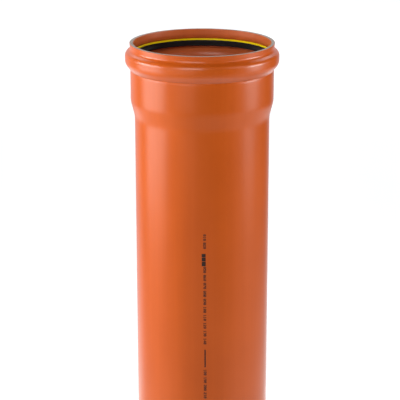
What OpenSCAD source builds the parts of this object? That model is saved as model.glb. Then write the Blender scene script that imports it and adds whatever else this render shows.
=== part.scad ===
// Socketed drain and sewer pipe in solid-wall PVC-U, standing on its spigot
// end with the socket at the top. The socket carries a rubber lip seal that a
// plastic ring keeps in its groove. Millimetres, +Z up along the pipe's axis,
// origin at the centre of the spigot end.

/* [Pipe] */
// Outside diameter of the barrel
pipe_d = 160; // [125:1:200]
// Wall thickness of the barrel
wall = 4.7; // [4.2:0.1:5.4]
// Laying length, without the socket's depth
laying_l = 500; // [500, 1000, 2000, 3000, 5000]
// Length of the bevel on the spigot end
bevel_l = 7; // [4:0.5:9]
// Angle of the bevel, from the axis
bevel_a = 15; // [10:1:18]

/* [Socket] */
// Depth of the socket, from the rim to the end of its bore
socket_depth = 70; // [66:1:90]
// Play between a spigot and the socket's bore, on the diameter
socket_play = 0.5; // [0.4:0.1:0.8]
// Wall thickness of the belled socket
socket_wall = 4.5; // [4.3:0.1:4.8]
// Length of the smooth cone between the socket and the barrel
cone_l = 18.5; // [16:0.5:30]
// Radius of the bends at both ends of the cone
cone_r = 33; // [25:1:36]

/* [Mouth] */
// Clear radius of the mouth over the socket's bore
mouth_gap = 0.85; // [0.8:0.05:1.1]
// Wall thickness at the sawn rim
rim_wall = 4.4; // [4.2:0.1:4.6]
// How far the mouth's outside narrows to the neck above the bead
neck_in = 0.8; // [0.4:0.1:1]
// Edge break on both edges of the rim
rim_break = 0.4; // [0.2:0.1:0.6]

/* [Bead] */
// Height of the bead over the outside of the socket
bead_h = 6.1; // [5.8:0.1:6.4]
// Depth below the rim at which the bead's upper flank starts
bead_z0 = 7.2; // [7:0.1:8]
// Depth below the rim at which the bead's upper flank meets its crest
bead_z1 = 11.8; // [11.6:0.1:12.4]
// Depth below the rim at which the crest ends
bead_z2 = 23.5; // [23.2:0.1:24]
// Depth below the rim at which the bead's lower flank ends
bead_z3 = 31.4; // [31.2:0.1:32.2]
// Wall thickness in the bead
bead_wall = 4.25; // [4.1:0.05:4.4]
// How far the neck under the bead lies inside the socket's outside
foot_in = 0.3; // [0.2:0.1:0.8]

/* [Seal and ring] */
// Depth of the retaining ring's top below the rim
ring_z = 11.6; // [11.5:0.1:12]
// Height of the retaining ring
ring_h = 2.6; // [2.2:0.1:2.8]
// Inside radius of the retaining ring over the socket's bore
ring_gap = 1.35; // [1.2:0.05:1.5]
// Inside radius of the folded sealing lip over the socket's bore
lip_gap = 0.8; // [0.7:0.05:1]
// Thickness of the folded sealing lip
lip_t = 1.6; // [1.2:0.1:1.8]
// Depth of the folded lip's tip below the rim
lip_z = 26.4; // [25.5:0.1:26.6]
// Gap left between the seal, the ring and the groove
fit_gap = 0.2; // [0.15:0.05:0.25]

/* [Hidden] */

turn_fn = 128;                               // facets of a full turn
arc_n = 8;                                   // facets of one rounded bend

pipe_l = laying_l + socket_depth;            // overall length
r_pipe = pipe_d / 2;
r_in = r_pipe - wall;                        // inside of the barrel
r_bore = r_pipe + socket_play / 2;           // bore of the socket
r_sock = r_bore + socket_wall;               // outside of the socket
r_bead = r_sock + bead_h;                    // crest of the bead
r_groove = r_bead - bead_wall;               // bottom of the seal's groove
r_mouth = r_bore + mouth_gap;                // inside of the mouth
r_rim = r_mouth + rim_wall;                  // outside of the rim

// The depth u runs down from the rim, so a profile point is [radius, u].
function unit(v) = v / norm(v);

// Left-hand normal of the line from a to b.
function side(a, b) = let (d = unit(b - a)) [-d.y, d.x];

// Angle from a0 to a1, the short way round.
function sweep(a0, a1) = let (d = a1 - a0) d > 180 ? d - 360 : d < -180 ? d + 360 : d;

// Points of the bend of radius r at p1 between the lines to p0 and to p2.
function bend(p0, p1, p2, r) =
    r == 0 ? [p1] :
    let (a = unit(p0 - p1), b = unit(p2 - p1),
         half = acos(a * b) / 2,
         c = p1 + unit(a + b) * r / sin(half),
         q0 = p1 + a * r / tan(half) - c,
         q1 = p1 + b * r / tan(half) - c,
         a0 = atan2(q0.y, q0.x),
         d = sweep(a0, atan2(q1.y, q1.x)))
    [for (k = [0 : arc_n]) c + r * [cos(a0 + d * k / arc_n), sin(a0 + d * k / arc_n)]];

// A path of corners [point, bend radius] with each corner rounded.
function rounded(path) = [for (i = [0 : len(path) - 1])
    each (i == 0 || i == len(path) - 1 ? [path[i][0]] :
          bend(path[i - 1][0], path[i][0], path[i + 1][0], path[i][1]))];

// Depth at which the line from a to b reaches the radius r.
function depth_at(a, b, r) = a.y + (b.y - a.y) * (r - a.x) / (b.x - a.x);

// Radius that the line from a to b has at the depth u.
function radius_at(a, b, u) = a.x + (b.x - a.x) * (u - a.y) / (b.y - a.y);

// Outside corners of the bead's flanks and of the cone.
p_neck = [r_rim - neck_in, bead_z0];
p_crest0 = [r_bead, bead_z1];
p_crest1 = [r_bead, bead_z2];
p_foot = [r_sock - foot_in, bead_z3];
p_cone0 = [r_sock, socket_depth - 1];
p_cone1 = [r_pipe, socket_depth - 1 + cone_l];

// The same flanks on the inside, one wall thickness further in.
up_a = p_neck + side(p_neck, p_crest0) * bead_wall;
up_b = p_crest0 + side(p_neck, p_crest0) * bead_wall;
low_a = p_crest1 + side(p_crest1, p_foot) * bead_wall;
low_b = p_foot + side(p_crest1, p_foot) * bead_wall;
cone_a = p_cone0 + side(p_cone0, p_cone1) * socket_wall;
cone_b = p_cone1 + side(p_cone0, p_cone1) * socket_wall;

i_mouth = [r_mouth, depth_at(up_a, up_b, r_mouth)];
i_groove0 = [r_groove, depth_at(up_a, up_b, r_groove)];
i_groove1 = [r_groove, depth_at(low_a, low_b, r_groove)];
i_bore0 = [r_bore, depth_at(low_a, low_b, r_bore)];
i_bore1 = [r_bore, depth_at(cone_a, cone_b, r_bore)];
i_barrel = [r_in, depth_at(cone_a, cone_b, r_in)];

outside = rounded([
    [[r_rim - rim_break, 0], 0],
    [[r_rim, rim_break], 0],
    [p_neck, 3.8],
    [p_crest0, 6.5],
    [p_crest1, 11.5],
    [p_foot, 1.8],
    [[r_sock, bead_z3 + 2.6], 4],
    [p_cone0, cone_r],
    [p_cone1, cone_r],
    [[r_pipe, pipe_l - bevel_l], 0],
    [[r_pipe - bevel_l * tan(bevel_a), pipe_l], 0]]);

inside = rounded([
    [[r_in, pipe_l], 0],
    [i_barrel, cone_r + socket_wall],
    [i_bore1, cone_r - socket_wall],
    [i_bore0, 8.7],
    [i_groove1, 7.2],
    [i_groove0, 2.2],
    [i_mouth, 8],
    [[r_mouth, rim_break], 0],
    [[r_mouth + rim_break, 0], 0]]);

// Radius of the groove's flanks at the depth u, with the fitting gap taken off.
function upper_flank(u) = radius_at(up_a, up_b, u) - 1.6 * fit_gap;
function lower_flank(u) = radius_at(low_a, low_b, u) - 1.6 * fit_gap;

r_ring = r_bore + ring_gap;                  // inside of the ring
r_ring_o = r_groove - 1.4;                   // outside of the ring
r_lip = r_bore + lip_gap;                    // inside of the folded lip
r_seal_o = r_groove - fit_gap;               // outside of the seal
seal_z = ring_z + ring_h + 0.1;              // top of the seal

// Turns a closed profile of [radius, depth] points about the pipe's axis.
module turned(profile) {
    rotate_extrude($fn = turn_fn)
        polygon([for (p = profile) [p.x, pipe_l - p.y]]);
}

// The pipe: barrel, bevelled spigot, cone, socket, bead and mouth in one piece.
module pipe() {
    color([0.82, 0.37, 0.17])
        turned(concat(outside, inside));
}

// Rubber seal in the groove, its lip folded back as it lies round a spigot.
module lip_seal() {
    color([0.10, 0.09, 0.09])
        turned([
            [r_lip + 1, seal_z],
            [r_seal_o - 1.2, seal_z],
            [r_seal_o, seal_z + 1.2],
            [r_seal_o, i_groove1.y - 2.9],
            [lower_flank(i_groove1.y + 1.5), i_groove1.y + 1.5],
            [lower_flank(lip_z - 2), lip_z - 2],
            [r_lip + lip_t, lip_z - 0.6],
            [r_lip + lip_t - 0.5, lip_z],
            [r_lip + 0.3, lip_z],
            [r_lip, lip_z - 0.4],
            [r_lip, seal_z + 2.4]]);
}

// Ring at the groove's upper flank that keeps the seal in place.
module retaining_ring() {
    color([0.84, 0.69, 0.05])
        turned([
            [r_ring + 0.4, ring_z],
            [upper_flank(ring_z), ring_z],
            [r_ring_o, depth_at(up_a, up_b, r_ring_o + 1.6 * fit_gap)],
            [r_ring_o, ring_z + ring_h],
            [r_ring, ring_z + ring_h],
            [r_ring, ring_z + 0.4]]);
}

pipe();
lip_seal();
retaining_ring();
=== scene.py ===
"""Looks of the socketed drain and sewer pipe: the belled pipe itself, its rubber
lip seal with the lip relaxed, the plastic ring above it and an inkjet length
scale on the barrel. Metres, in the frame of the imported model."""

import math

import bpy
import numpy as np
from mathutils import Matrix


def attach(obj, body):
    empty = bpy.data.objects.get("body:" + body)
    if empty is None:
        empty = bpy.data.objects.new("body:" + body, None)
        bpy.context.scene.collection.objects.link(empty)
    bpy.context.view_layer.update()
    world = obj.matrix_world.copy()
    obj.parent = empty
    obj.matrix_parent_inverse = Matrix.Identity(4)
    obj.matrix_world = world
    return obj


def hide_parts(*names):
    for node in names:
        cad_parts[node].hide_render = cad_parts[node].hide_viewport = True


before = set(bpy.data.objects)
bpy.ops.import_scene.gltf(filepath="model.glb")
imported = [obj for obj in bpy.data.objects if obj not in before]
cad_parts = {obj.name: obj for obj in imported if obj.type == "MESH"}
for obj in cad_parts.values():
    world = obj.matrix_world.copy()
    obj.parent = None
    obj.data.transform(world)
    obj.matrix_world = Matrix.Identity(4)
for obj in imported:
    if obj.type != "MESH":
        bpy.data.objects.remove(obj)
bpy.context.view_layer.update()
scene = bpy.context.scene
scene.view_settings.view_transform = "Standard"
scene.view_settings.look = "None"

MM = 0.001
PIPE_L = 570.0                     # overall length, mm
R_PIPE, R_IN = 80.0, 75.3          # barrel, outside and inside
R_BORE, R_SOCK = 80.25, 84.75      # socket, inside and outside
R_BEAD, R_GROOVE = 90.85, 86.6     # bead's crest and the groove inside it
R_MOUTH, R_RIM = 81.1, 85.5        # mouth, inside and outside
BEVEL_L, BEVEL_A = 7.0, 15.0       # spigot bevel
SKIN = 0.5                         # coloured skin on both sides of the wall


# ---------------------------------------------------------------- profiles
# A profile point is [radius, u] in mm, with the depth u down from the rim.

def unit(v):
    return v / np.linalg.norm(v)


def side(a, b):
    d = unit(b - a)
    return np.array([-d[1], d[0]])


def depth_at(a, b, r):
    return a[1] + (b[1] - a[1]) * (r - a[0]) / (b[0] - a[0])


def bend(p0, p1, p2, r, deg):
    """Points of the round of radius r at p1, one every deg degrees or so."""
    if r <= 0:
        return [p1]
    a, b = unit(p0 - p1), unit(p2 - p1)
    half = math.acos(max(-1.0, min(1.0, float(a @ b)))) / 2
    c = p1 + unit(a + b) * r / math.sin(half)
    q0 = p1 + a * r / math.tan(half) - c
    q1 = p1 + b * r / math.tan(half) - c
    a0 = math.atan2(q0[1], q0[0])
    d = (math.atan2(q1[1], q1[0]) - a0 + math.pi) % (2 * math.pi) - math.pi
    n = max(3, math.ceil(abs(math.degrees(d)) / deg))
    return [c + r * np.array([math.cos(a0 + d * k / n), math.sin(a0 + d * k / n)])
            for k in range(n + 1)]


def rounded(path, deg=4.0, closed=False):
    """The corners (r, u, bend radius) of a path with every corner rounded."""
    pts = [np.array(p[:2], float) for p in path]
    out = []
    for i, p in enumerate(path):
        if not closed and i in (0, len(path) - 1):
            out.append(pts[i])
        else:
            out += bend(pts[i - 1], pts[i], pts[(i + 1) % len(pts)], p[2], deg)
    return out


def divided(points, step):
    """Straight runs longer than step(point) are cut into equal parts."""
    out = [points[0]]
    for a, b in zip(points[:-1], points[1:]):
        n = max(1, math.ceil(np.linalg.norm(b - a) / step((a + b) / 2)))
        out += [a + (b - a) * k / n for k in range(1, n + 1)]
    return out


def pipe_profile():
    """Charts of the pipe's closed profile: outside, end, inside and rim."""
    neck, crest0 = np.array([R_RIM - 0.8, 7.2]), np.array([R_BEAD, 11.8])
    crest1, foot = np.array([R_BEAD, 23.5]), np.array([R_SOCK - 0.3, 31.4])
    cone0, cone1 = np.array([R_SOCK, 69.0]), np.array([R_PIPE, 87.5])
    up = side(neck, crest0) * 4.25
    low = side(crest1, foot) * 4.25
    cone = side(cone0, cone1) * 4.5
    r_end = R_PIPE - BEVEL_L * math.tan(math.radians(BEVEL_A))

    def on(a, b, off, r):
        return (r, depth_at(a + off, b + off, r))

    outside = rounded([
        (R_RIM - 0.4, 0, 0), (R_RIM, 0.4, 0.3),
        (*neck, 3.8), (*crest0, 6.5), (*crest1, 11.5), (*foot, 1.8),
        (R_SOCK, 34.0, 4), (*cone0, 33), (*cone1, 33),
        (R_PIPE, PIPE_L - BEVEL_L, 1.0), (r_end, PIPE_L, 0)])
    inside = rounded([
        (R_IN, PIPE_L, 0),
        (*on(cone0, cone1, cone, R_IN), 37.5),
        (*on(cone0, cone1, cone, R_BORE), 28.5),
        (*on(crest1, foot, low, R_BORE), 8.7),
        (*on(crest1, foot, low, R_GROOVE), 7.2),
        (*on(neck, crest0, up, R_GROOVE), 2.2),
        (*on(neck, crest0, up, R_MOUTH), 8),
        (R_MOUTH, 0.4, 0.3), (R_MOUTH + 0.4, 0, 0)])

    def step(p):
        return 2.0 if p[1] < 40 else 5.0 if p[1] < 100 or p[1] > 555 else 9.0

    end = [np.array([r, PIPE_L]) for r in np.linspace(r_end, R_IN, 7)]
    rim = [np.array([r, 0.0]) for r in np.linspace(R_MOUTH + 0.4, R_RIM - 0.4, 10)]
    return divided(outside, step), end, divided(inside, step), rim


# ------------------------------------------------------------------- meshes

def lathe(name, charts, boxes, seg):
    """Turns a closed profile, given as charts end to end, about the axis into
    one closed mesh. boxes are the charts' places in the UV map."""
    rows, chart_of, v_of = [], [], []
    for k, chart in enumerate(charts):
        run = np.concatenate([[0.0], np.cumsum([np.linalg.norm(b - a)
                              for a, b in zip(chart[:-1], chart[1:])])])
        for i in range(len(chart) - 1):
            rows.append(chart[i])
            chart_of.append(k)
            v_of.append((run[i] / run[-1], run[i + 1] / run[-1]))
    rows = np.array(rows)
    n = len(rows)
    ang = np.arange(seg) * 2 * math.pi / seg - math.pi / 2
    r, z = rows[:, 0] * MM, (PIPE_L - rows[:, 1]) * MM
    co = np.stack([r[:, None] * np.cos(ang), r[:, None] * np.sin(ang),
                   np.repeat(z[:, None], seg, 1)], 2).reshape(-1, 3)
    i, j = np.meshgrid(np.arange(n), np.arange(seg), indexing="ij")
    i1, j1 = (i + 1) % n, (j + 1) % seg
    quads = np.stack([i * seg + j, i1 * seg + j, i1 * seg + j1, i * seg + j1], 2)
    me = bpy.data.meshes.new(name)
    me.from_pydata(co.tolist(), [], quads.reshape(-1, 4).tolist())
    me.polygons.foreach_set("use_smooth", np.ones(n * seg, bool))
    box = np.array([boxes[k] for k in chart_of])            # u0, u1, v0, v1
    v = np.array(v_of)
    u0 = box[:, None, 0] + (box[:, None, 1] - box[:, None, 0]) * j / seg
    u1 = box[:, None, 0] + (box[:, None, 1] - box[:, None, 0]) * (j + 1) / seg
    v0 = (box[:, 3] - (box[:, 3] - box[:, 2]) * v[:, 0])[:, None] + 0 * j
    v1 = (box[:, 3] - (box[:, 3] - box[:, 2]) * v[:, 1])[:, None] + 0 * j
    uv = np.stack([u0, v0, u0, v1, u1, v1, u1, v0], 2)
    layer = me.uv_layers.new(name="OFBake")
    layer.uv.foreach_set("vector", uv.astype(np.float32).ravel())
    me.update()
    ob = bpy.data.objects.new(name, me)
    scene.collection.objects.link(ob)
    return ob, np.repeat(chart_of, seg), np.repeat(rows[:, 1], seg)


def sharp_over(me, degrees):
    me.set_sharp_from_angle(angle=math.radians(degrees))


# ---------------------------------------------------------------- materials

class Nodes:
    """Short-hand for building one material."""

    def __init__(self, name):
        self.mat = bpy.data.materials.new(name)
        self.mat.use_nodes = True
        self.nt = self.mat.node_tree
        self.nt.nodes.clear()
        out = self.nt.nodes.new("ShaderNodeOutputMaterial")
        self.bsdf = self.nt.nodes.new("ShaderNodeBsdfPrincipled")
        self.nt.links.new(self.bsdf.outputs[0], out.inputs[0])
        self.place = self.nt.nodes.new("ShaderNodeTexCoord").outputs["Object"]

    def put(self, socket, value):
        if hasattr(value, "is_output"):
            self.nt.links.new(value, socket)
        else:
            socket.default_value = value

    def set(self, **kw):
        for k, v in kw.items():
            self.put(self.bsdf.inputs[k.replace("_", " ")], v)

    def noise(self, scale, stretch=(1, 1, 1), detail=2.0, rough=0.5, turn=(0, 0, 0), shift=(0, 0, 0), at=None):
        m = self.nt.nodes.new("ShaderNodeMapping")
        m.inputs["Scale"].default_value = [scale * s for s in stretch]
        m.inputs["Rotation"].default_value = turn
        m.inputs["Location"].default_value = shift
        self.put(m.inputs["Vector"], at or self.place)
        t = self.nt.nodes.new("ShaderNodeTexNoise")
        t.inputs["Scale"].default_value = 1.0
        t.inputs["Detail"].default_value = detail
        t.inputs["Roughness"].default_value = rough
        self.put(t.inputs["Vector"], m.outputs[0])
        return t.outputs["Fac"]

    def math(self, op, a, b=0.0, c=0.0):
        m = self.nt.nodes.new("ShaderNodeMath")
        m.operation = op
        for s, v in zip(m.inputs, (a, b, c)):
            self.put(s, v)
        return m.outputs[0]

    def ramp(self, x, x0, x1, y0=0.0, y1=1.0, smooth=True):
        m = self.nt.nodes.new("ShaderNodeMapRange")
        m.interpolation_type = "SMOOTHSTEP" if smooth else "LINEAR"
        for k, v in (("Value", x), ("From Min", x0), ("From Max", x1), ("To Min", y0), ("To Max", y1)):
            self.put(m.inputs[k], v)
        return m.outputs["Result"]

    def mix(self, fac, a, b):
        m = self.nt.nodes.new("ShaderNodeMix")
        m.data_type = "RGBA"
        self.put(m.inputs["Factor"], fac)
        self.put(m.inputs[6], a)
        self.put(m.inputs[7], b)
        return m.outputs[2]

    def bump(self, height, depth, after=None):
        b = self.nt.nodes.new("ShaderNodeBump")
        b.inputs["Strength"].default_value = 1.0
        b.inputs["Distance"].default_value = depth
        self.put(b.inputs["Height"], height)
        if after is not None:
            self.put(b.inputs["Normal"], after)
        return b.outputs[0]

    def xyz(self):
        s = self.nt.nodes.new("ShaderNodeSeparateXYZ")
        self.put(s.inputs[0], self.place)
        return s.outputs

    def radius(self):
        x, y, _ = self.xyz()
        return self.math("SQRT", self.math("ADD", self.math("MULTIPLY", x, x), self.math("MULTIPLY", y, y)))

    def turned(self, scale_t, last):
        """Noise coordinates from the direction about the axis and one more value."""
        x, y, _ = self.xyz()
        r = self.radius()
        c = self.nt.nodes.new("ShaderNodeCombineXYZ")
        self.put(c.inputs[0], self.math("MULTIPLY", self.math("DIVIDE", x, r), scale_t))
        self.put(c.inputs[1], self.math("MULTIPLY", self.math("DIVIDE", y, r), scale_t))
        self.put(c.inputs[2], last)
        return c.outputs[0]

    def rings(self, scale_r, scale_t):
        """Coordinates in which noise runs in rings about the axis."""
        return self.turned(scale_t, self.math("MULTIPLY", self.math("ADD", self.radius(), self.xyz()[2]), scale_r))

    def lines(self, scale_t, scale_z):
        """Coordinates in which noise runs in lines along the pipe."""
        return self.turned(scale_t, self.math("MULTIPLY", self.xyz()[2], scale_z))


def rgba(r, g, b):
    return (r, g, b, 1.0)


def pvc_skin(name, dark, light, gloss):
    """Extruded PVC-U: die lines along the pipe, clouding, faint orange peel,
    and a few scuffs of handling, most of them on the bead."""
    m = Nodes(name)
    cloud = m.noise(14, detail=3)
    streak = m.noise(1, at=m.lines(9, 1.6), detail=3, rough=0.6)
    die = m.noise(1, at=m.lines(110, 5), detail=2)
    tone = m.math("ADD", m.math("MULTIPLY", cloud, 0.6), m.math("MULTIPLY", streak, 0.4))
    col = m.mix(m.ramp(tone, 0.30, 0.70), rgba(*dark), rgba(*light))
    # handling: a few fine scratches in two directions, and rubbed spots
    s1 = m.ramp(m.noise(1, (420, 420, 40), detail=1, turn=(0.5, 0.35, 0.0)), 0.76, 0.84)
    s2 = m.ramp(m.noise(1, (40, 420, 420), detail=1, turn=(0.0, 0.3, 0.9), shift=(3, 1, 7)), 0.77, 0.85)
    where = m.ramp(m.noise(18, detail=2, shift=(5, 2, 9)), 0.58, 0.72)
    scratch = m.math("MULTIPLY", m.math("MAXIMUM", s1, s2), where)
    proud = m.ramp(m.radius(), 0.0898, 0.0908)
    rub = m.math("MULTIPLY", proud, m.ramp(m.noise(55, (1, 1, 2.5), detail=4, rough=0.65), 0.54, 0.74))
    worn = m.math("ADD", m.math("MULTIPLY", scratch, 0.16), m.math("MULTIPLY", rub, 0.12))
    col = m.mix(worn, col, rgba(0.68, 0.225, 0.105))
    # painted shade: a darker colour along the concave foot under the bead
    r, z = m.radius(), m.xyz()[2]
    low = m.math("ABSOLUTE", m.math("SUBTRACT", z, (PIPE_L - 30.6) * MM))
    crease_shade = m.math("MULTIPLY", m.ramp(low, 0.0014, 0.0003), m.ramp(r, 0.0832, 0.0836))
    crease_shade = m.math("MULTIPLY", crease_shade, m.ramp(m.noise(60, detail=3), 0.25, 0.60, 0.55, 1.0))
    col = m.mix(m.math("MULTIPLY", crease_shade, 0.55), col, rgba(0.40, 0.075, 0.012))
    rough = m.ramp(m.math("ADD", m.math("MULTIPLY", streak, 0.6), m.math("MULTIPLY", die, 0.4)),
                   0.2, 0.8, gloss - 0.010, gloss + 0.014)
    rough = m.math("ADD", rough, m.math("MULTIPLY", worn, 0.25))
    n = m.bump(die, 0.0000015)
    n = m.bump(m.noise(700, detail=1), 0.0000025, n)
    n = m.bump(m.math("SUBTRACT", 1.0, scratch), 0.0000020, n)
    m.set(Base_Color=col, Roughness=rough, Normal=n, IOR=1.53)
    return m.mat


def pvc_cut():
    """Sawn faces: a pale grey-beige core between two coloured skins, with the
    saw's fine rings and a little fuzz."""
    m = Nodes("pvc_cut")
    r = m.radius()
    x, y, z = m.xyz()
    saw = m.noise(1, at=m.rings(5200, 5), detail=3, rough=0.6)
    grain = m.noise(2600, detail=3, rough=0.6)
    wave = m.math("MULTIPLY", m.math("SUBTRACT", m.noise(90, detail=2), 0.5), 0.0004)
    rr = m.math("ADD", r, wave)
    top = m.math("GREATER_THAN", z, 0.3)
    # outer skin: at the rim by the radius, on the bevel by the depth of cut
    lim_o = m.math("ADD", m.math("MULTIPLY", top, (R_RIM - R_PIPE) * MM), (R_PIPE - SKIN) * MM)
    lim_i = m.math("ADD", m.math("MULTIPLY", top, (R_MOUTH - R_IN) * MM), (R_IN + SKIN) * MM)
    outer = m.ramp(m.math("SUBTRACT", rr, lim_o), -0.00008, 0.00012)
    inner = m.ramp(m.math("SUBTRACT", lim_i, rr), -0.00008, 0.00012)
    skin = m.math("MAXIMUM", outer, inner)
    core = m.mix(m.ramp(m.math("ADD", m.math("MULTIPLY", saw, 0.6), m.math("MULTIPLY", grain, 0.4)), 0.35, 0.65),
                 rgba(0.43, 0.345, 0.285), rgba(0.53, 0.44, 0.37))
    col = m.mix(skin, core, rgba(0.60, 0.155, 0.062))
    n = m.bump(saw, 0.00003)
    n = m.bump(grain, 0.00002, n)
    m.set(Base_Color=col, Roughness=m.ramp(grain, 0.3, 0.7, 0.55, 0.75), Normal=n, IOR=1.5)
    return m.mat


def seal_rubber():
    """Moulded EPDM: black, with a grey bloom in patches and fine mould rings."""
    m = Nodes("seal_rubber")
    bloom = m.ramp(m.noise(120, detail=4, rough=0.65), 0.45, 0.75)
    ring = m.noise(1, at=m.rings(3500, 4), detail=2)
    col = m.mix(m.math("MULTIPLY", bloom, 0.6), rgba(0.0110, 0.0096, 0.0100), rgba(0.022, 0.0198, 0.0215))
    n = m.bump(ring, 0.00002)
    n = m.bump(m.noise(3000, detail=2), 0.000012, n)
    m.set(Base_Color=col, Roughness=m.ramp(bloom, 0, 1, 0.52, 0.66), Normal=n, IOR=1.50)
    m.bsdf.inputs["Specular IOR Level"].default_value = 0.2
    return m.mat


def ring_plastic():
    """Moulded yellow polypropylene with faint flow marks."""
    m = Nodes("ring_plastic")
    flow = m.noise(1, at=m.rings(900, 12), detail=3)
    spot = m.noise(260, detail=3)
    col = m.mix(m.ramp(flow, 0.35, 0.65), rgba(0.94, 0.725, 0.0008), rgba(0.98, 0.765, 0.0014))
    n = m.bump(m.noise(1600, detail=2), 0.00001)
    m.set(Base_Color=col, Roughness=m.ramp(spot, 0.3, 0.7, 0.34, 0.46), Normal=n, IOR=1.49)
    m.bsdf.inputs["Specular IOR Level"].default_value = 0.15
    return m.mat


def print_ink():
    """Dark inkjet print with thin and thick places."""
    m = Nodes("print_ink")
    thin = m.ramp(m.noise(700, detail=3), 0.40, 0.72)
    col = m.mix(thin, rgba(0.011, 0.0060, 0.0045), rgba(0.055, 0.020, 0.010))
    m.set(Base_Color=col, Roughness=m.ramp(thin, 0, 1, 0.48, 0.40), IOR=1.5,
          Normal=m.bump(m.noise(4000, detail=1), 0.000006))
    return m.mat


def floor_white(name, glow):
    """Pale, matt studio floor with faint clouding, and a faint glow of its own."""
    m = Nodes(name)
    col = m.mix(m.ramp(m.noise(1.1, detail=3), 0.3, 0.7), rgba(0.80, 0.80, 0.80), rgba(0.83, 0.83, 0.83))
    m.set(Base_Color=col, Emission_Color=col, Roughness=m.ramp(m.noise(40, detail=2), 0.3, 0.7, 0.75, 0.85))
    m.bsdf.inputs["Emission Strength"].default_value = glow
    m.bsdf.inputs["Specular IOR Level"].default_value = 0.1
    return m.mat


# -------------------------------------------------------------------- pieces
WORLD_CEILING, WORLD_DROP, WORLD_NEAR = 0.01, 0.70, 0.86

SEG = 288
outside, end, inside, rim = pipe_profile()
pipe, chart, depth = lathe(
    "pipe_visual", [outside, end, inside, rim],
    [(0.004, 0.496, 0.066, 0.996), (0.004, 0.996, 0.036, 0.060),
     (0.504, 0.996, 0.066, 0.996), (0.004, 0.996, 0.004, 0.030)], SEG)
pipe.data.materials.append(pvc_skin("pvc_skin", (0.575, 0.0945, 0.0065), (0.625, 0.1060, 0.0085), 0.288))
pipe.data.materials.append(pvc_cut())
# The inside is the same PVC in a paler, less saturated colour: painted sheen on the inner walls.
pipe.data.materials.append(pvc_skin("pvc_inside_painted_sheen", (0.600, 0.1260, 0.0310), (0.652, 0.1415, 0.0365), 0.36))
cut = (chart == 1) | (chart == 3) | ((chart == 0) & (depth > PIPE_L - BEVEL_L - 0.5))
pipe.data.polygons.foreach_set("material_index", np.where(cut, 1, np.where(chart == 2, 2, 0)).astype(np.int32))
sharp_over(pipe.data, 24)
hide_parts("pipe")
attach(pipe, "root")

# Seal, lip relaxed: body in the groove, lip reaching in and down from it.
seal_path = [
    (81.9, 13.80, 0.30), (85.2, 13.80, 0.5), (86.3, 14.90, 0.6), (86.3, 18.4, 1.6),
    (85.65, 20.85, 0.6), (84.8, 21.3, 0.5), (82.8, 20.75, 1.0), (79.9, 20.25, 2.0),
    (78.0, 20.25, 0.40), (77.4, 19.35, 0.40), (78.6, 17.85, 1.2), (80.5, 16.2, 2.0), (81.45, 14.9, 0.8)]
seal_ring = rounded(seal_path, 9.0, closed=True)
seal_ring = divided(seal_ring + seal_ring[:1], lambda p: 0.8)
seal, _, _ = lathe("lip_seal_visual", [seal_ring], [(0.004, 0.996, 0.004, 0.996)], 256)
seal.data.materials.append(seal_rubber())
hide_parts("lip_seal")
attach(seal, "root")

# Retaining ring on top of the seal, tucked under the groove's upper flank.
ring_path = [
    (81.85, 11.75, 0.25), (82.75, 11.80, 0.15), (85.10, 13.30, 0.20), (85.15, 13.70, 0.12),
    (81.05, 13.70, 0.15), (80.95, 13.42, 0.15)]
ring_line = rounded(ring_path, 12.0, closed=True)
ring_line = divided(ring_line + ring_line[:1], lambda p: 0.6)
ring, _, _ = lathe("retaining_ring_visual", [ring_line], [(0.004, 0.996, 0.004, 0.996)], 256)
ring.data.materials.append(ring_plastic())
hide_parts("retaining_ring")
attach(ring, "root")

# ------------------------------------------------------------- length scale
DIGITS = {
    "0": "01110 10001 10011 10101 11001 10001 01110",
    "1": "00100 01100 00100 00100 00100 00100 01110",
    "2": "01110 10001 00001 00110 01000 10000 11111",
    "3": "11110 00001 00001 01110 00001 00001 11110",
    "4": "00010 00110 01010 10010 11111 00010 00010",
    "5": "11111 10000 11110 00001 00001 10001 01110",
    "6": "00110 01000 10000 11110 10001 10001 01110",
    "7": "11111 00001 00010 00100 01000 01000 01000",
    "8": "01110 10001 10001 01110 10001 10001 01110",
    "9": "01110 10001 10001 01111 00001 00010 01100",
}
PITCH = 0.44                       # dot pitch of the print head, mm


def scale_dots(rng):
    """Dots (along, across) of the scale, in mm: along runs down from its top.
    Three-figure numbers stand every 10 mm, with plain bars between them."""
    dots = []

    def bar(at, long, rows):
        for k in range(max(1, round(long / PITCH))):
            for q in rows:
                dots.append((at + k * PITCH, (q - 3) * PITCH))

    def number(at, text):
        for ch in text:
            for q, row in enumerate(DIGITS[ch].split()):
                for k, on in enumerate(row):
                    if on == "1":
                        dots.append((at + k * PITCH, (3 - q) * PITCH))
            at += 6 * PITCH

    for k in range(33):
        if k not in (2, 3, 14, 15, 16):
            number(10.0 * k + 2.0, "%03d" % (10 * k + 10))
    for at, long in ((25.9, 3.9), (30.5, 4.4), (35.7, 5.3)):
        bar(at, long, range(-4, 6))
    bar(146.6, 22.6, range(2, 5))
    return [(a + rng.normal(0, 0.03), c + rng.normal(0, 0.03), rng.uniform(0.88, 1.10)) for a, c in dots]


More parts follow.
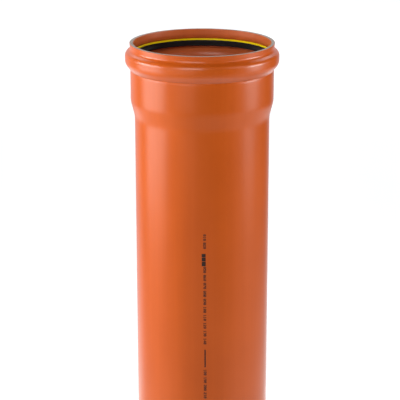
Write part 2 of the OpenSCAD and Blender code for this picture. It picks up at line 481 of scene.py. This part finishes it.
def ink_scale():
    """Each dot is a low closed dome lying on the barrel."""
    rng = np.random.default_rng(11)
    sides = 8
    turn = np.arange(sides) * 2 * math.pi / sides
    verts, faces = [], []
    for along, across, size in scale_dots(rng):
        z = 360.0 - along
        offset = 2.75 + 0.9 * (360.0 - z) / 190.0 + across
        rings = []
        for rad, lift in ((0.400, -0.020), (0.400, 0.006), (0.270, 0.022)):
            d = rad * size
            rings.append([(offset + d * math.cos(t), z + d * math.sin(t), lift) for t in turn])
        base = len(verts)
        for x, zz, lift in rings[0] + rings[1] + rings[2]:
            a = x / R_PIPE
            verts.append(((R_PIPE + lift) * MM * math.sin(a), -(R_PIPE + lift) * MM * math.cos(a), zz * MM))
        for q in range(2):
            for k in range(sides):
                k1 = (k + 1) % sides
                faces.append((base + q * sides + k, base + q * sides + k1,
                              base + (q + 1) * sides + k1, base + (q + 1) * sides + k))
        faces.append([base + k for k in reversed(range(sides))])
        faces.append([base + 2 * sides + k for k in range(sides)])
    me = bpy.data.meshes.new("length_scale")
    me.from_pydata(verts, [], faces)
    me.polygons.foreach_set("use_smooth", np.ones(len(faces), bool))
    me.update()
    ob = bpy.data.objects.new("length_scale", me)
    scene.collection.objects.link(ob)
    ob.data.materials.append(print_ink())
    return ob


scale = ink_scale()
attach(scale, "root")

# --------------------------------------------------------------------- stage
def floor_disc(name, radius, z, glow):
    me = bpy.data.meshes.new(name)
    turn = np.arange(96) * 2 * math.pi / 96
    me.from_pydata([(radius * math.cos(t), radius * math.sin(t), 0.0) for t in turn], [], [list(range(96))])
    me.materials.append(floor_white(name, glow))
    ob = bpy.data.objects.new(name, me)
    scene.collection.objects.link(ob)
    ob.location.z = z
    return ob


# The open floor lights nothing; its round inside the pipe lies in the pipe's shade.
floor = floor_disc("floor_white", 60.0, -0.0002, 0.40)
floor.visible_glossy = False
floor.visible_diffuse = False
floor_disc("floor_shaded", 0.0775, -0.0001, 0.0)

# A dim studio: a pale ceiling, a white backdrop behind the pipe and the white
# table near it, as the gloss of the pipe sees them; plain pale to the camera.
world = bpy.data.worlds.new("studio")
scene.world = world
world.use_nodes = True
wn = world.node_tree
wn.nodes.clear()


def w_math(op, a, b=0.0, name=None):
    n = wn.nodes.new("ShaderNodeMath")
    n.operation = op
    for s, v in zip(n.inputs, (a, b)):
        if hasattr(v, "is_output"):
            wn.links.new(v, s)
        else:
            s.default_value = v
    if name:
        n.name = name
    return n.outputs[0]


def w_ramp(x, x0, x1, y0=0.0, y1=1.0):
    n = wn.nodes.new("ShaderNodeMapRange")
    n.interpolation_type = "SMOOTHSTEP"
    for k, v in (("From Min", x0), ("From Max", x1), ("To Min", y0), ("To Max", y1)):
        n.inputs[k].default_value = v
    wn.links.new(x, n.inputs["Value"])
    return n.outputs["Result"]


def w_light(strength, colour):
    n = wn.nodes.new("ShaderNodeBackground")
    n.inputs["Color"].default_value = (*colour, 1.0)
    if hasattr(strength, "is_output"):
        wn.links.new(strength, n.inputs["Strength"])
    else:
        n.inputs["Strength"].default_value = strength
    return n.outputs[0]


def w_add(a, b):
    n = wn.nodes.new("ShaderNodeAddShader")
    wn.links.new(a, n.inputs[0])
    wn.links.new(b, n.inputs[1])
    return n.outputs[0]


w_dir = wn.nodes.new("ShaderNodeSeparateXYZ")
wn.links.new(wn.nodes.new("ShaderNodeTexCoord").outputs["Generated"], w_dir.inputs[0])
dx, dy, dz = w_dir.outputs
flat = w_math("MAXIMUM", w_math("SQRT", w_math("ADD", w_math("MULTIPLY", dx, dx), w_math("MULTIPLY", dy, dy))), 0.01)
aft = w_math("DIVIDE", dy, flat)                       # 1 straight behind the pipe, -1 in front
ceiling = w_math("MULTIPLY", w_ramp(dz, 0.25, 0.65), WORLD_CEILING, "w_ceiling")
behind = w_math("SUBTRACT", w_math("MULTIPLY", aft, 0.988), w_math("MULTIPLY", w_math("DIVIDE", dx, flat), 0.156))
drop = w_math("MULTIPLY", w_ramp(behind, 0.66, 0.88), w_ramp(dz, 0.50, 0.30))
drop = w_math("MULTIPLY", drop, WORLD_DROP, "w_drop")
around = w_math("MULTIPLY", w_ramp(aft, -1.0, -0.3, 0.24, 1.0), w_ramp(dz, -0.46, -0.66, 1.0, 0.70))
near = w_math("MULTIPLY", w_ramp(dz, -0.285, -0.415), w_math("MAXIMUM", around, w_ramp(dz, -0.66, -0.92)))
near = w_math("MULTIPLY", near, WORLD_NEAR, "w_near")
lit = w_add(w_add(w_light(ceiling, (1.0, 1.0, 1.0)), w_light(drop, (0.86, 0.92, 1.0))), w_light(near, (1.0, 1.0, 1.0)))
w_mix = wn.nodes.new("ShaderNodeMixShader")
wn.links.new(wn.nodes.new("ShaderNodeLightPath").outputs["Is Camera Ray"], w_mix.inputs[0])
wn.links.new(lit, w_mix.inputs[1])
wn.links.new(w_light(0.95, (1.0, 1.0, 1.0)), w_mix.inputs[2])
wn.links.new(w_mix.outputs[0], wn.nodes.new("ShaderNodeOutputWorld").inputs[0])


def softbox(name, at, to, width, height, watts, colour=(1, 1, 1)):
    light = bpy.data.lights.new(name, "AREA")
    light.shape = "RECTANGLE"
    light.size, light.size_y = width, height
    light.energy = watts
    light.color = colour
    ob = bpy.data.objects.new(name, light)
    scene.collection.objects.link(ob)
    ob.location = at
    d = np.array(to, float) - np.array(at, float)
    d /= np.linalg.norm(d)
    ob.rotation_euler = (math.acos(-d[2]), 0.0, math.atan2(d[1], d[0]) - math.pi / 2)
    ob.visible_camera = False
    return ob


# Two pairs of softboxes beside the pipe, softer ones towards the front, a window-like
# one above the camera's left shoulder, a dim card on the table and a wide box over
# the backdrop.
softbox("left_low", (-1.25, -0.18, 0.30), (0, -0.18, 0.30), 1.02, 0.56, 4.8)
softbox("left_mid", (-1.25, -0.18, 0.66), (0, -0.18, 0.66), 1.02, 0.40, 16.1)
softbox("right_low", (1.30, -0.16, 0.30), (0, -0.16, 0.30), 0.56, 0.56, 1.05)
softbox("right_mid", (1.30, -0.16, 0.60), (0, -0.16, 0.60), 0.56, 0.30, 11.7)
softbox("right_front", (1.46, -1.14, 1.25), (0, 0, 0.50), 0.90, 0.70, 3.4)
softbox("front_low", (-1.03, -1.94, 0.46), (0, 0, 0.50), 1.30, 0.70, 4.1)
softbox("front", (-0.64, -1.97, 1.45), (0, 0, 0.50), 1.30, 1.25, 22.0)
softbox("table", (0, -0.48, 0.012), (0, -0.48, 1.0), 1.50, 0.76, 0.72)
softbox("top_back", (0.0, 3.0, 2.8), (0.0, 3.0, 0.0), 3.0, 5.6, 125, (0.95, 0.975, 1.0))

cam_data = bpy.data.cameras.new("camera")
cam = bpy.data.objects.new("camera", cam_data)
scene.collection.objects.link(cam)
cam.location = (0.0, -1.831, 0.936)
cam.rotation_euler = (math.radians(72.991), 0.0, 0.0)
cam_data.sensor_width = 36.0
cam_data.lens = 142.38
cam_data.shift_x = -0.0054
cam_data.clip_start, cam_data.clip_end = 0.05, 200.0
scene.camera = cam
